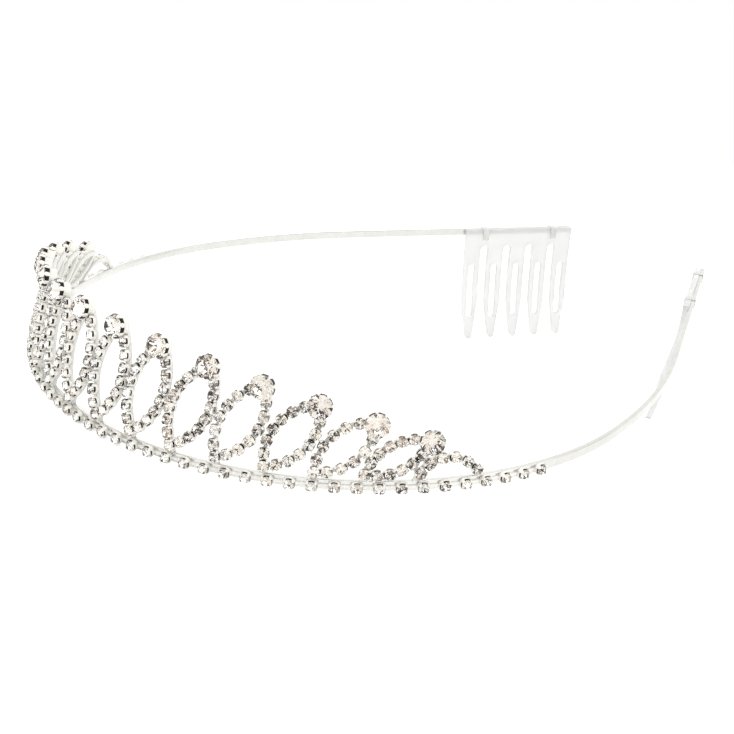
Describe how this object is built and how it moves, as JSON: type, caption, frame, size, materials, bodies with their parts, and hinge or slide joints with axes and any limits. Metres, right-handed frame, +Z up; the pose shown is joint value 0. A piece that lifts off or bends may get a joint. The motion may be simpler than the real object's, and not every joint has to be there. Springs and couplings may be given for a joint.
{
  "type": "bridal tiara",
  "caption": "U-shaped silver-plated tiara with a claw-set crystal row, a fence of leaf-shaped crystal spikes with larger tip stones, and clear combs that hold it in the hair.",
  "frame": {"origin": "middle of the bounding box, on the ground that the row and the comb teeth stand on", "axes": "+Z up, -Y the way the wearer faces, +X towards the wearer's left"},
  "size_m": [0.1272, 0.1705, 0.0373],
  "materials": {
    "band_silver": "silver-plated wire, polished",
    "cup_silver": "bright silver-plated stamped metal",
    "crystal": "clear cut glass with a foiled back",
    "clear_plastic": "clear moulded plastic"
  },
  "bodies": {
    "root": {"headband": "band_silver", "row_chain": "cup_silver", "row_stones": "crystal", "tip_settings": "cup_silver", "tip_stones": "crystal", "spike_wire_center": "band_silver", "spike_chain_center": "cup_silver", "spike_stones_center": "crystal", "spike_wire_left_1": "band_silver", "spike_chain_left_1": "cup_silver", "spike_stones_left_1": "crystal", "spike_wire_left_2": "band_silver", "spike_chain_left_2": "cup_silver", "spike_stones_left_2": "crystal", "spike_wire_left_3": "band_silver", "spike_chain_left_3": "cup_silver", "spike_stones_left_3": "crystal", "spike_wire_left_4": "band_silver", "spike_chain_left_4": "cup_silver", "spike_stones_left_4": "crystal", "spike_wire_left_5": "band_silver", "spike_chain_left_5": "cup_silver", "spike_stones_left_5": "crystal", "spike_wire_left_6": "band_silver", "spike_chain_left_6": "cup_silver", "spike_stones_left_6": "crystal", "spike_wire_left_7": "band_silver", "spike_chain_left_7": "cup_silver", "spike_stones_left_7": "crystal", "spike_wire_right_1": "band_silver", "spike_chain_right_1": "cup_silver", "spike_stones_right_1": "crystal", "spike_wire_right_2": "band_silver", "spike_chain_right_2": "cup_silver", "spike_stones_right_2": "crystal", "spike_wire_right_3": "band_silver", "spike_chain_right_3": "cup_silver", "spike_stones_right_3": "crystal", "spike_wire_right_4": "band_silver", "spike_chain_right_4": "cup_silver", "spike_stones_right_4": "crystal", "spike_wire_right_5": "band_silver", "spike_chain_right_5": "cup_silver", "spike_stones_right_5": "crystal", "spike_wire_right_6": "band_silver", "spike_chain_right_6": "cup_silver", "spike_stones_right_6": "crystal", "spike_wire_right_7": "band_silver", "spike_chain_right_7": "cup_silver", "spike_stones_right_7": "crystal", "arch_wire_left": "band_silver", "arch_chain_left": "cup_silver", "arch_stones_left": "crystal", "comb_left": "clear_plastic", "comb_clips_left": "band_silver", "arch_wire_right": "band_silver", "arch_chain_right": "cup_silver", "arch_stones_right": "crystal", "comb_right": "clear_plastic", "comb_clips_right": "band_silver"}
  },
  "joints": []
}
